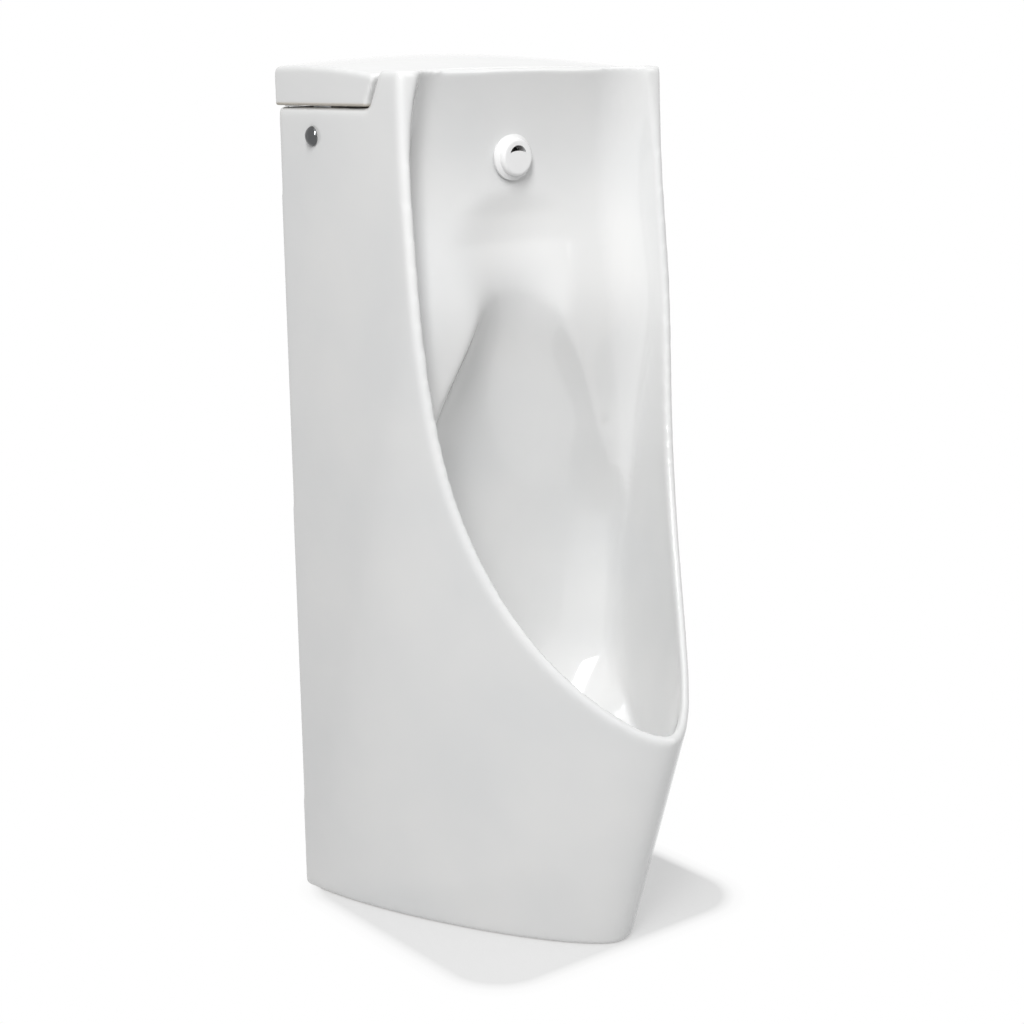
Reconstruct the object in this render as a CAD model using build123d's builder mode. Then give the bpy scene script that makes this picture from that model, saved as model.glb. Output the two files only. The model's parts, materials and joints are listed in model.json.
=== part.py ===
"""A floor-standing urinal with a leaning bow-shaped pedestal, a lift-off lid and a concealed flush valve.

Millimetres, +Z up, the front faces -Y, and the origin is on the floor at the middle of the outline.
Depths are given as distances from the wall face, which stands at y = wall_y.
"""

from build123d import *
import os

# Overall sizes of the pedestal
foot_width = 350.0
top_width = 336.0
corner_height = 900.0
lip_reach = 424.0
lip_height = 246.0
foot_reach = 344.0
wall = 12.0
wall_y = lip_reach / 2
lean = (lip_reach - foot_reach) / lip_height
flank_draft = (foot_width - top_width) / 2 / corner_height

# Plan curve of the bow
bow_shoulder = 110.0
nose_pull = 52.0
nose_wall_pull = 7.0

# Top of the body, the lid's seat and the lid's outline
band_top = 895.0
seam_height = 862.0
seat_reach = 163.0
lid_reach = 182.5
seam_gap = 1.8
lid_proud = 2.0
lid_crown = [(0.0, 908.0, 899.5), (90.0, 908.5, 899.0), (190.0, 894.0, 890.0)]
lid_plate = 11.0
lid_edge_round = 4.0
band_corner = 7.0
rim_outer_round = 5.0
rim_inner_round = 2.5

# Side line of the rim, as distance from the wall and height
rim_line = [(220.0, 930.0), (224.0, 780.0), (235.0, 660.0), (257.0, 500.0), (303.0, 380.0), (lip_reach, lip_height)]

# Splash panel: height, distance from the wall, radius of its side corners
splash_levels = [
    (930.0, 214.0, 60.0),
    (880.0, 194.0, 55.0),
    (810.0, 176.0, 48.0),
    (740.0, 176.0, 46.0),
    (650.0, 190.0, 44.0),
    (560.0, 182.0, 34.0),
    (480.0, 177.0, 24.0),
    (385.0, 174.0, 14.0),
]

# Bowl: height, distance of the centre from the wall, half width, half depth
bowl_levels = [
    (740.0, 250.0, 80.0, 74.0),
    (700.0, 250.0, 80.0, 75.0),
    (650.0, 250.0, 78.0, 86.0),
    (600.0, 250.0, 100.0, 103.0),
    (550.0, 250.0, 130.0, 115.0),
    (490.0, 250.0, 158.0, 126.0),
    (400.0, 252.0, 198.0, 138.0),
    (300.0, 260.0, 186.0, 150.0),
    (240.0, 264.0, 162.0, 150.0),
    (190.0, 262.0, 116.0, 124.0),
    (158.0, 258.0, 76.0, 84.0),
]
bowl_floor_round = 14.0

# Waste outlet below the bowl
outlet_reach = 258.0
outlet_radius = 36.0
collar_wall = 10.0
collar_end = 40.0
strainer_seat_radius = 44.0
strainer_seat_depth = 4.0

# Back wall of the casting and its two windows
window_width = 230.0
window_corner = 25.0
lower_window = (55.0, 400.0)
upper_window = (440.0, 770.0)

# Wall fixing holes, in the back wall's top corners
fixing_spacing = 270.0
fixing_height = 805.0
fixing_hole_radius = 8.0
sleeve_wall = 2.4
sleeve_lip = 3.0

# General clearances, and how far cutting shapes run past the body
fit_clearance = 0.3
running_clearance = 0.05
front_room = 260.0
overrun = 20.0

# Lid lock
lock_reach = 67.0
lock_height = 831.0
lock_hole_radius = 4.0
screw_radius = 3.0
screw_head_radius = 10.0
screw_head_height = 5.5
washer_thickness = 1.0
tab_thickness = 2.0
tab_width = 32.0
tab_slot_width = 7.4
tab_foot = 26.0
nut_thickness = 5.0
nut_across_flats = 10.0

# Spray nozzle
nozzle_height = 806.5
nozzle_radius = 19.5
nozzle_stand = 12.5
nozzle_round = 4.0
nozzle_skirt_radius = 23.5
nozzle_skirt_edge = 2.5
nozzle_stem_radius = 9.0
nozzle_bore_radius = 5.0
nozzle_seat_reach = 175.0
nozzle_gasket_thickness = 1.5
slot_radius = 10.5
slot_rise = 4.0
back_nut_thickness = 7.0
back_nut_across_flats = 27.0

# Valve shelf
lug_height = 700.0
lug_depth = 16.0
lug_length = 70.0
lug_reach = 78.0
lug_width = 24.0
shelf_thickness = 2.5
shelf_gap = 2.5
shelf_length = 96.0
shelf_screw_radius = 2.0
shelf_screw_spacing = 44.0

# Water train, which runs along X above the shelf
train_reach = 78.0
train_rise = 34.0
stop_x = -114.0
stop_radius = 14.0
pipe_radius = 8.0
pipe_bore_radius = 6.0
union_radius = 13.0
union_length = 15.0
solenoid_length = 46.0
solenoid_radius = 15.0
diaphragm_radius = 21.0
coil_radius = 14.0
coil_height = 34.0
plunger_radius = 4.0
plunger_length = 20.0
plunger_travel = 3.0
pipe_bend = 20.0
inlet_radius = 10.5
inlet_shank_radius = 9.6
inlet_bore_radius = 7.0
inlet_nut_height = 8.0
inlet_end = 640.0
spindle_radius = 4.0

# Control box
box_x = 88.0
box_width = 92.0
box_length = 74.0
box_height = 78.0
box_wall = 2.5
cover_height = 10.0
battery_radius = 7.2
battery_length = 50.0

# Radar sensor behind the splash panel
sensor_x = 52.0
sensor_height = 756.0
sensor_size = (34.0, 9.0, 26.0)

# Trap in the outlet, floor flange and its bolts
cartridge_radius = 31.0
cartridge_flange = 40.0
cartridge_length = 84.0
cartridge_wall = 2.5
seal_height = 6.0
flange_radius = 52.0
flange_plate = (124.0, 90.0)
flange_plate_reach = 190.0
flange_thickness = 9.0
flange_neck = 22.0
drain_radius = 25.0
flange_bolt_spacing = 92.0
flange_bolt_reach = 176.0
flange_bolt_radius = 4.0

os.makedirs("parts", exist_ok=True)


def half_width(z):
    """Half of the pedestal's width between its flat flanks at a height."""
    return foot_width / 2 - flank_draft * z


def at(reach):
    """The y of a distance from the wall."""
    return wall_y - reach


def finish(part, name):
    """Label a finished piece and write it."""
    part.label = name
    export_step(part, f"parts/{name}.step")


def pedestal_form(inset, low, high):
    """The leaning bow with flat flanks behind it, drawn in all round by a wall."""
    with BuildPart() as form:
        with BuildSketch(Plane.XZ.offset(-wall_y)):
            with BuildLine():
                Polyline(
                    (-half_width(low) + inset, low),
                    (half_width(low) - inset, low),
                    (half_width(high) - inset, high),
                    (-half_width(high) + inset, high),
                    close=True,
                )
            make_face()
        extrude(amount=lean * high)
        split(bisect_by=Plane(origin=(0, wall_y, 0), z_dir=(0, 1, lean)), keep=Keep.TOP)
        for z in (low, high):
            half = half_width(z) - inset
            rear = at(lean * z)
            nose = rear - foot_reach + inset
            pull = nose_pull - (nose_wall_pull if inset else 0)
            with BuildSketch(Plane.XY.offset(z)):
                with BuildLine():
                    Bezier((half, rear), (half, rear - bow_shoulder), (pull, nose), (0, nose))
                    mirror(about=Plane.YZ)
                    Line((-half, rear), (half, rear))
                make_face()
        loft(ruled=True)
    return form.part


def splash_form(grow):
    """The space in front of the splash panel, with round side corners, grown by a wall."""
    with BuildPart() as form:
        for z, reach, corner in splash_levels:
            half = half_width(z) - wall + grow
            back = at(reach - grow)
            corner = corner + grow
            front = at(lip_reach + front_room)
            with BuildSketch(Plane.XY.offset(z)):
                with BuildLine():
                    Line((-half, front), (-half, back - corner))
                    RadiusArc((-half, back - corner), (-half + corner, back), corner)
                    Line((-half + corner, back), (half - corner, back))
                    RadiusArc((half - corner, back), (half, back - corner), corner)
                    Line((half, back - corner), (half, front))
                    Line((half, front), (-half, front))
                make_face()
        loft()
    return form.part


def bowl_form(grow):
    """The deep bowl below the panel, an ellipse at each level, grown by a wall."""
    floor_z = bowl_levels[-1][0]
    with BuildPart() as form:
        for z, reach, half, depth in bowl_levels:
            with BuildSketch(Plane.XY.offset(z - grow if z == floor_z else z)):
                with Locations((0, at(reach))):
                    Ellipse(half + grow, depth + grow)
        loft()
        fillet(form.faces().sort_by(Axis.Z)[0].edges(), bowl_floor_round + grow)
    return form.part


# The glazed body: outer skin, rim, splash panel, bowl, valve chamber and foot
floor_z = bowl_levels[-1][0]
chamber_rear = nozzle_seat_reach - wall
inner_form = pedestal_form(wall, -wall, corner_height + overrun)

with BuildPart() as bowl_space:
    add(splash_form(0))
    add(bowl_form(0))
    add(inner_form, mode=Mode.INTERSECT)

with BuildPart() as hollow:
    add(inner_form)
    with Locations((0, at(0), corner_height / 2)):
        Box(2 * foot_width, 2 * wall, 3 * corner_height, mode=Mode.SUBTRACT)
    add(splash_form(wall), mode=Mode.SUBTRACT)
    add(bowl_form(wall), mode=Mode.SUBTRACT)
    with BuildSketch(Plane.XY.offset(collar_end)):
        with Locations((0, at(outlet_reach))):
            Circle(outlet_radius + collar_wall)
    extrude(amount=floor_z - collar_end + wall, mode=Mode.SUBTRACT)
    lug_flank = half_width(lug_height) - wall - lug_width
    for side in (-1, 1):
        with Locations((side * (lug_flank + lug_width), at(lug_reach), lug_height - lug_depth / 2)):
            Box(2 * lug_width, lug_length, lug_depth, mode=Mode.SUBTRACT)

with BuildPart() as ceramic_body:
    add(pedestal_form(0, 0, band_top))
    # the seat of the lid, a step with a sloping riser
    with BuildSketch(Plane.YZ):
        with BuildLine():
            Line((at(-overrun), seam_height - seam_gap), (at(seat_reach + seam_gap), seam_height - seam_gap))
            riser = Line(
                (at(seat_reach + seam_gap), seam_height - seam_gap),
                (at(lid_reach + seam_gap) + band_corner / 3, band_top - band_corner / 2),
            )
            bend = TangentArc(riser @ 1, (at(lid_reach + seam_gap + band_corner / 2), band_top), tangent=riser % 1)
            Line(bend @ 1, (at(lid_reach + seam_gap + band_corner / 2), band_top + overrun))
            Line((at(lid_reach + seam_gap + band_corner / 2), band_top + overrun), (at(-overrun), band_top + overrun))
            Line((at(-overrun), band_top + overrun), (at(-overrun), seam_height - seam_gap))
        make_face()
    extrude(amount=foot_width, both=True, mode=Mode.SUBTRACT)
    # the rim line, cut straight through from side to side
    with BuildSketch(Plane.YZ):
        with BuildLine():
            rim = Spline([(at(reach), z) for reach, z in rim_line])
            Line(rim @ 1, (at(lip_reach + front_room), lip_height))
            Line((at(lip_reach + front_room), lip_height), (at(lip_reach + front_room), rim_line[0][1]))
            Line((at(lip_reach + front_room), rim_line[0][1]), rim @ 0)
        make_face()
    extrude(amount=foot_width, both=True, mode=Mode.SUBTRACT)
    add(bowl_space.part, mode=Mode.SUBTRACT)
    # rounded rim, softer on its outer edge
    core = pedestal_form(wall / 2, -wall, corner_height + overrun).solid()
    rim_edges = ceramic_body.faces().filter_by(GeomType.EXTRUSION).edges().filter_by(lambda e: e.length > 3 * wall)
    fillet(rim_edges.filter_by(lambda e: not core.is_inside(e @ 0.5)), rim_outer_round)
    rim_edges = ceramic_body.faces().filter_by(GeomType.EXTRUSION).edges().filter_by(lambda e: e.length > 3 * wall)
    fillet(rim_edges.filter_by(lambda e: core.is_inside(e @ 0.5)), rim_inner_round)
    add(hollow.part, mode=Mode.SUBTRACT)
    # two windows in the back wall
    for low, high in (lower_window, upper_window):
        with BuildSketch(Plane.XZ.offset(-wall_y)):
            with Locations((0, (low + high) / 2)):
                RectangleRounded(window_width, high - low, window_corner)
        extrude(amount=wall, mode=Mode.SUBTRACT)
    # wall fixing holes
    with BuildSketch(Plane.XZ.offset(-wall_y)):
        with Locations((-fixing_spacing / 2, fixing_height), (fixing_spacing / 2, fixing_height)):
            Circle(fixing_hole_radius)
    extrude(amount=wall, mode=Mode.SUBTRACT)
    # waste outlet through the bowl's floor, with the strainer's recess
    with BuildSketch(Plane.XY.offset(collar_end)):
        with Locations((0, at(outlet_reach))):
            Circle(outlet_radius)
    extrude(amount=floor_z - collar_end + wall, mode=Mode.SUBTRACT)
    with BuildSketch(Plane.XY.offset(floor_z - strainer_seat_depth)):
        with Locations((0, at(outlet_reach))):
            Circle(strainer_seat_radius)
    extrude(amount=strainer_seat_depth + wall, mode=Mode.SUBTRACT)
    # holes for the lid's lock screws
    with BuildSketch(Plane.YZ):
        with Locations((at(lock_reach), lock_height)):
            Circle(lock_hole_radius)
    extrude(amount=foot_width, both=True, mode=Mode.SUBTRACT)
    # flat seats on the panel's rear face, for the nozzle's nut and the sensor
    with BuildSketch(Plane.XZ.offset(-at(chamber_rear))) as rear_seats:
        with Locations((0, nozzle_height)):
            Circle(nozzle_skirt_radius)
        with Locations((sensor_x, sensor_height)):
            Rectangle(sensor_size[0] + 4, sensor_size[2] + 4)
    extrude(amount=wall / 2)
    extrude(rear_seats.sketch, amount=-wall, mode=Mode.SUBTRACT)
    # seat and hole of the spray nozzle
    with BuildSketch(Plane.XZ.offset(-at(nozzle_seat_reach))):
        with Locations((0, nozzle_height)):
            Circle(nozzle_skirt_radius + 1)
    extrude(amount=wall, mode=Mode.SUBTRACT)
    with BuildSketch(Plane.XZ.offset(-at(chamber_rear - wall))):
        with Locations((0, nozzle_height)):
            Circle(nozzle_stem_radius + 1)
    extrude(amount=3 * wall, mode=Mode.SUBTRACT)
    # screw holes in the lugs
    with BuildSketch(Plane.XY.offset(lug_height)):
        with Locations((0, at(lug_reach))):
            with GridLocations(2 * (lug_flank + lug_width / 2), shelf_screw_spacing, 2, 2):
                Circle(shelf_screw_radius)
    extrude(amount=-lug_depth, mode=Mode.SUBTRACT)
finish(ceramic_body.part, "ceramic_body")


# The lid: a crowned ceramic cap whose skirt steps down behind the front band
lid_half = half_width(corner_height) + lid_proud
pocket_top = lid_crown[1][2] - lid_plate
with BuildPart() as lid:
    for reach, middle_z, side_z in lid_crown:
        with BuildSketch(Plane.XZ.offset(-at(reach))):
            with BuildLine():
                Line((-lid_half, side_z), (-lid_half, seam_height - overrun))
                Line((-lid_half, seam_height - overrun), (lid_half, seam_height - overrun))
                Line((lid_half, seam_height - overrun), (lid_half, side_z))
                ThreePointArc((lid_half, side_z), (0, middle_z), (-lid_half, side_z))
            make_face()
    loft()
    with BuildSketch(Plane.YZ):
        with BuildLine():
            Polyline(
                (at(-overrun), seam_height),
                (at(seat_reach), seam_height),
                (at(lid_reach), band_top),
                (at(lid_reach), band_top + overrun),
                (at(lid_reach + overrun), band_top + overrun),
                (at(lid_reach + overrun), seam_height - 2 * overrun),
                (at(-overrun), seam_height - 2 * overrun),
                close=True,
            )
        make_face()
    extrude(amount=foot_width, both=True, mode=Mode.SUBTRACT)
    flank_tops = lid.edges().filter_by(lambda e: abs(abs(e.center().X) - lid_half) < 0.5 and e.center().Z > 885)
    fillet(flank_tops, lid_edge_round)
    with BuildSketch(Plane.XY.offset(seam_height)):
        with Locations((0, at((wall + seat_reach - wall) / 2))):
            Rectangle(2 * (lid_half - wall), seat_reach - 2 * wall)
    extrude(amount=pocket_top - seam_height, mode=Mode.SUBTRACT)
finish(lid.part, "lid")

# Rubber pads under the skirt, which keep the lid off the glazed seat
pad_height = seam_gap - fit_clearance
with BuildPart() as lid_seat_pads:
    for side in (-1, 1):
        for reach in (2 * wall, seat_reach - 2 * wall):
            with Locations((side * (lid_half - wall / 2 - lid_proud), at(reach), seam_height - pad_height / 2)):
                Box(wall - 2 * lid_proud, 2 * wall, pad_height)
finish(lid_seat_pads.part, "lid_seat_pads")

# The lock on each flank: slotted tab under the lid, dome screw, washer and nut
flank_out = half_width(lock_height)
flank_in = flank_out - wall
tab_out = flank_in - fit_clearance - flank_draft * (pocket_top - lock_height)
tab_in = tab_out - tab_thickness
nut_out = tab_in - fit_clearance
head_base = flank_out + flank_draft * screw_head_radius + washer_thickness
screw_tail = nut_out - nut_thickness - 1.5
for side, hand in ((-1, "left"), (1, "right")):
    with BuildPart() as lid_tab:
        with BuildSketch(Plane.YZ.offset(side * tab_out)):
            with BuildLine():
                Polyline(
                    (at(lock_reach) - tab_width / 2, pocket_top),
                    (at(lock_reach) - tab_width / 2, lock_height - tab_width / 2),
                    (at(lock_reach) + tab_width / 2, lock_height - tab_width / 2),
                    (at(lock_reach) + tab_width / 2, pocket_top),
                    close=True,
                )
            make_face()
        extrude(amount=-side * tab_thickness)
        with BuildSketch(Plane.YZ.offset(side * tab_out)):
            with Locations((at(lock_reach), lock_height - tab_width / 2)):
                SlotCenterToCenter(tab_width, tab_slot_width, rotation=90)
        extrude(amount=-side * tab_thickness, mode=Mode.SUBTRACT)
        with Locations((side * (tab_out - tab_foot / 2), at(lock_reach), pocket_top - tab_thickness / 2)):
            Box(tab_foot, tab_width, tab_thickness)
        bend = lid_tab.edges().filter_by(Axis.Y).filter_by(
            lambda e: abs(abs(e.center().X) - tab_in) < 0.1 and abs(e.center().Z - pocket_top + tab_thickness) < 0.1
        )
        fillet(bend, tab_thickness)
    finish(lid_tab.part, f"lid_tab_{hand}")

    with BuildPart() as lock_screw:
        with BuildSketch(Plane.XY.offset(lock_height)):
            with BuildLine():
                Line((screw_tail, at(lock_reach)), (head_base + screw_head_height, at(lock_reach)))
                ThreePointArc(
                    (head_base + screw_head_height, at(lock_reach)),
                    (head_base + screw_head_height * 0.68, at(lock_reach) + screw_head_radius * 0.72),
                    (head_base, at(lock_reach) + screw_head_radius),
                )
                Line((head_base, at(lock_reach) + screw_head_radius), (head_base, at(lock_reach) + screw_radius))
                Line((head_base, at(lock_reach) + screw_radius), (screw_tail, at(lock_reach) + screw_radius))
                Line((screw_tail, at(lock_reach) + screw_radius), (screw_tail, at(lock_reach)))
            make_face()
        revolve(axis=Axis((0, at(lock_reach), lock_height), (1, 0, 0)))
        with BuildSketch(Plane.YZ.offset(head_base + screw_head_height)):
            with Locations((at(lock_reach), lock_height)):
                RegularPolygon(2.3, 6)
        extrude(amount=-3.0, mode=Mode.SUBTRACT)
        if side < 0:
            mirror(about=Plane.YZ, mode=Mode.REPLACE)
    finish(lock_screw.part, f"lock_screw_{hand}")

with BuildPart() as lock_washers:
    with BuildSketch(Plane.YZ.offset(head_base - washer_thickness)):
        with Locations((at(lock_reach), lock_height)):
            Circle(screw_head_radius - 1)
            Circle(screw_radius + running_clearance, mode=Mode.SUBTRACT)
    extrude(amount=washer_thickness)
    mirror(about=Plane.YZ)
finish(lock_washers.part, "lock_washers")

with BuildPart() as lock_nuts:
    with BuildSketch(Plane.YZ.offset(nut_out)):
        with Locations((at(lock_reach), lock_height)):
            RegularPolygon(nut_across_flats / 2, 6, major_radius=False)
            Circle(screw_radius + running_clearance, mode=Mode.SUBTRACT)
    extrude(amount=-nut_thickness)
    mirror(about=Plane.YZ)
finish(lock_nuts.part, "lock_nuts")

# The spray nozzle, a round cap with a half-moon mouth and a threaded stem through the panel
gasket_face = nozzle_seat_reach + nozzle_gasket_thickness
cap_face = nozzle_seat_reach + nozzle_stand
stem_end = chamber_rear - back_nut_thickness - 6
with BuildPart() as spray_nozzle:
    with BuildSketch(Plane.YZ):
        with BuildLine():
            Polyline(
                (at(gasket_face), nozzle_height),
                (at(gasket_face), nozzle_height + nozzle_skirt_radius),
                (at(gasket_face + nozzle_skirt_edge), nozzle_height + nozzle_skirt_radius),
                (at(gasket_face + 2 * nozzle_skirt_edge), nozzle_height + nozzle_radius),
                (at(cap_face), nozzle_height + nozzle_radius),
                (at(cap_face), nozzle_height),
                close=True,
            )
        make_face()
    revolve(axis=Axis((0, 0, nozzle_height), (0, 1, 0)))
    fillet(spray_nozzle.edges().sort_by(Axis.Y)[0], nozzle_round)
    with BuildSketch(Plane.XZ.offset(-at(stem_end))):
        with Locations((0, nozzle_height)):
            Circle(nozzle_stem_radius)
    extrude(amount=gasket_face - stem_end)
    with BuildSketch(Plane.XZ.offset(-at(stem_end))):
        with Locations((0, nozzle_height)):
            Circle(nozzle_bore_radius)
    extrude(amount=gasket_face - stem_end, mode=Mode.SUBTRACT)
    with BuildSketch(Plane.XZ.offset(-at(gasket_face - 2))):
        with BuildLine():
            slot_low = nozzle_height + slot_rise
            ThreePointArc((-slot_radius, slot_low), (0, slot_low + 8), (slot_radius, slot_low))
            ThreePointArc((slot_radius, slot_low), (0, slot_low + 2.5), (-slot_radius, slot_low))
        make_face()
    extrude(amount=cap_face - gasket_face + wall, mode=Mode.SUBTRACT)
finish(spray_nozzle.part, "spray_nozzle")

with BuildPart() as nozzle_gasket:
    with BuildSketch(Plane.XZ.offset(-at(nozzle_seat_reach))):
        with Locations((0, nozzle_height)):
            Circle(nozzle_radius - 1)
            Circle(nozzle_stem_radius + fit_clearance, mode=Mode.SUBTRACT)
    extrude(amount=nozzle_gasket_thickness)
finish(nozzle_gasket.part, "nozzle_gasket")

with BuildPart() as nozzle_back_nut:
    with BuildSketch(Plane.XZ.offset(-at(chamber_rear))):
        with Locations((0, nozzle_height)):
            RegularPolygon(back_nut_across_flats / 2, 6, major_radius=False)
            Circle(nozzle_stem_radius, mode=Mode.SUBTRACT)
    extrude(amount=-back_nut_thickness)
finish(nozzle_back_nut.part, "nozzle_back_nut")

# The steel shelf that carries the water train, screwed onto the casting's lugs
shelf_half = half_width(lug_height) - wall - shelf_gap
shelf_top = lug_height + shelf_thickness
train_z = shelf_top + train_rise
with BuildPart() as valve_shelf:
    with BuildSketch(Plane.XY.offset(lug_height)):
        with Locations((0, at(train_reach))):
            RectangleRounded(2 * shelf_half, shelf_length, 8)
        with Locations((0, at(lug_reach))):
            with GridLocations(2 * (lug_flank + lug_width / 2), shelf_screw_spacing, 2, 2):
                Circle(shelf_screw_radius + fit_clearance, mode=Mode.SUBTRACT)
        with Locations((stop_x, at(train_reach))):
            Circle(inlet_shank_radius + fit_clearance, mode=Mode.SUBTRACT)
    extrude(amount=shelf_thickness)
finish(valve_shelf.part, "valve_shelf")

with BuildPart() as shelf_screws:
    with BuildSketch(Plane.XY.offset(shelf_top)):
        with Locations((0, at(lug_reach))):
            with GridLocations(2 * (lug_flank + lug_width / 2), shelf_screw_spacing, 2, 2):
                Circle(2 * shelf_screw_radius)
    extrude(amount=2 * shelf_screw_radius)
    with BuildSketch(Plane.XY.offset(shelf_top)):
        with Locations((0, at(lug_reach))):
            with GridLocations(2 * (lug_flank + lug_width / 2), shelf_screw_spacing, 2, 2):
                Circle(shelf_screw_radius)
    extrude(amount=-lug_depth)
finish(shelf_screws.part, "shelf_screws")

# Supply: a threaded tail from below, held by a nut under the shelf, and the stop valve on it
stop_low = train_z - 1.3 * stop_radius
stop_high = train_z + 1.3 * stop_radius
with BuildPart() as inlet_tail:
    with BuildSketch(Plane.XY.offset(inlet_end)):
        with Locations((stop_x, at(train_reach))):
            Circle(inlet_radius)
    extrude(amount=lug_height - inlet_nut_height - 1 - inlet_end)
    with BuildSketch(Plane.XY.offset(lug_height - inlet_nut_height - 1)):
        with Locations((stop_x, at(train_reach))):
            Circle(inlet_shank_radius)
    extrude(amount=stop_low - lug_height + inlet_nut_height + 1)
    with BuildSketch(Plane.XY.offset(shelf_top)):
        with Locations((stop_x, at(train_reach))):
            Circle(inlet_radius + 4)
    extrude(amount=3)
    with BuildSketch(Plane.XY.offset(inlet_end)):
        with Locations((stop_x, at(train_reach))):
            Circle(inlet_bore_radius)
    extrude(amount=stop_low - inlet_end, mode=Mode.SUBTRACT)
finish(inlet_tail.part, "inlet_tail")

with BuildPart() as inlet_nut:
    with BuildSketch(Plane.XY.offset(lug_height)):
        with Locations((stop_x, at(train_reach))):
            RegularPolygon(inlet_radius + 4, 6, major_radius=False)
            Circle(inlet_shank_radius, mode=Mode.SUBTRACT)
    extrude(amount=-inlet_nut_height)
finish(inlet_nut.part, "inlet_nut")

solenoid_start = stop_x + stop_radius + 4 + union_length
solenoid_end = solenoid_start + solenoid_length
with BuildPart() as stop_valve_body:
    with BuildSketch(Plane.XY.offset(stop_low)):
        with Locations((stop_x, at(train_reach))):
            Circle(stop_radius)
    extrude(amount=stop_high - stop_low)
    with BuildSketch(Plane(origin=(stop_x, at(train_reach), train_z), z_dir=(1, 0, 0))):
        Circle(pipe_radius + 2)
    extrude(amount=stop_radius + 4)
    with BuildSketch(Plane(origin=(stop_x, at(train_reach), train_z), z_dir=(1, 0, 0))):
        Circle(pipe_bore_radius)
    extrude(amount=stop_radius + 4, mode=Mode.SUBTRACT)
    with BuildSketch(Plane.XY.offset(stop_low)):
        with Locations((stop_x, at(train_reach))):
            Circle(inlet_bore_radius)
    extrude(amount=train_z - stop_low, mode=Mode.SUBTRACT)
    with BuildSketch(Plane.XY.offset(train_z + pipe_bore_radius + 2)):
        with Locations((stop_x, at(train_reach))):
            Circle(spindle_radius + running_clearance)
    extrude(amount=stop_high, mode=Mode.SUBTRACT)
finish(stop_valve_body.part, "stop_valve_body")

spindle_low = train_z + pipe_bore_radius + 2 + fit_clearance
with BuildPart() as stop_spindle:
    with BuildSketch(Plane.XY.offset(spindle_low)):
        with Locations((stop_x, at(train_reach))):
            Circle(spindle_radius)
    extrude(amount=stop_high + 3 - spindle_low)
    with BuildSketch(Plane.XY.offset(stop_high + fit_clearance)):
        with Locations((stop_x, at(train_reach))):
            Circle(spindle_radius + 4)
    extrude(amount=4)
    with BuildSketch(Plane.XY.offset(stop_high + fit_clearance + 4)):
        with Locations((stop_x, at(train_reach))):
            Rectangle(2 * spindle_radius + 4, 1.6)
    extrude(amount=-2, mode=Mode.SUBTRACT)
finish(stop_spindle.part, "stop_spindle")

# The solenoid valve: body with diaphragm bonnet, coil, plunger and return spring
bonnet_top = train_z + solenoid_radius + 8
coil_x = (solenoid_start + solenoid_end) / 2
plunger_low = bonnet_top + fit_clearance
plunger_high = plunger_low + plunger_length
with BuildPart() as solenoid_body:
    with BuildSketch(Plane(origin=(solenoid_start, at(train_reach), train_z), z_dir=(1, 0, 0))):
        Circle(solenoid_radius - 3)
    extrude(amount=solenoid_length)
    with BuildSketch(Plane.XY.offset(shelf_top)):
        with Locations((coil_x, at(train_reach))):
            Circle(diaphragm_radius)
    extrude(amount=bonnet_top - shelf_top)
    fillet(solenoid_body.edges().filter_by(GeomType.CIRCLE).sort_by(Axis.Z)[-1], 3)
    with BuildSketch(Plane(origin=(solenoid_start, at(train_reach), train_z), z_dir=(1, 0, 0))):
        Circle(pipe_bore_radius)
    extrude(amount=solenoid_length, mode=Mode.SUBTRACT)
finish(solenoid_body.part, "solenoid_body")

spring_room = 10.0
with BuildPart() as solenoid_coil:
    with BuildSketch(Plane.XY.offset(bonnet_top)):
        with Locations((coil_x, at(train_reach))):
            RectangleRounded(2 * coil_radius, 2 * coil_radius, 4)
    extrude(amount=coil_height)
    with BuildSketch(Plane.XY.offset(bonnet_top)):
        with Locations((coil_x, at(train_reach))):
            Circle(plunger_radius + running_clearance)
    extrude(amount=plunger_length + spring_room, mode=Mode.SUBTRACT)
    fillet(solenoid_coil.edges().group_by(Axis.Z)[-1], 2)
finish(solenoid_coil.part, "solenoid_coil")

with BuildPart() as solenoid_plunger:
    with BuildSketch(Plane.XY.offset(plunger_low)):
        with Locations((coil_x, at(train_reach))):
            Circle(plunger_radius)
    extrude(amount=plunger_length)
    chamfer(solenoid_plunger.edges().filter_by(GeomType.CIRCLE), 0.6)
finish(solenoid_plunger.part, "solenoid_plunger")

spring_wire = 0.5
spring_low = plunger_high + spring_wire + 0.1
spring_high = bonnet_top + plunger_length + spring_room - spring_wire - 0.1
spring_coil_radius = plunger_radius - 1.2
spring_pitch = 1.9
with BuildPart() as plunger_spring:
    with BuildLine():
        turns = Helix(spring_pitch, spring_high - spring_low, spring_coil_radius, center=(coil_x, at(train_reach), spring_low))
    with BuildSketch(Plane(origin=turns @ 0, z_dir=turns % 0)):
        Circle(spring_wire)
    sweep()
finish(plunger_spring.part, "plunger_spring")

# Union nuts, and the flush pipe that rises from the valve and turns forward to the nozzle
pipe_start = solenoid_end
with BuildPart() as union_nuts:
    for x in (stop_x + stop_radius + 4, solenoid_end):
        with BuildSketch(Plane(origin=(x, at(train_reach), train_z), z_dir=(1, 0, 0))):
            RegularPolygon(union_radius, 6, major_radius=False)
            Circle(pipe_radius, mode=Mode.SUBTRACT)
        extrude(amount=union_length)
finish(union_nuts.part, "union_nuts")
with BuildPart() as valve_coupling:
    with BuildSketch(Plane(origin=(stop_x + stop_radius + 4, at(train_reach), train_z), z_dir=(1, 0, 0))):
        Circle(pipe_radius)
        Circle(pipe_bore_radius, mode=Mode.SUBTRACT)
    extrude(amount=union_length)
finish(valve_coupling.part, "valve_coupling")

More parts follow.
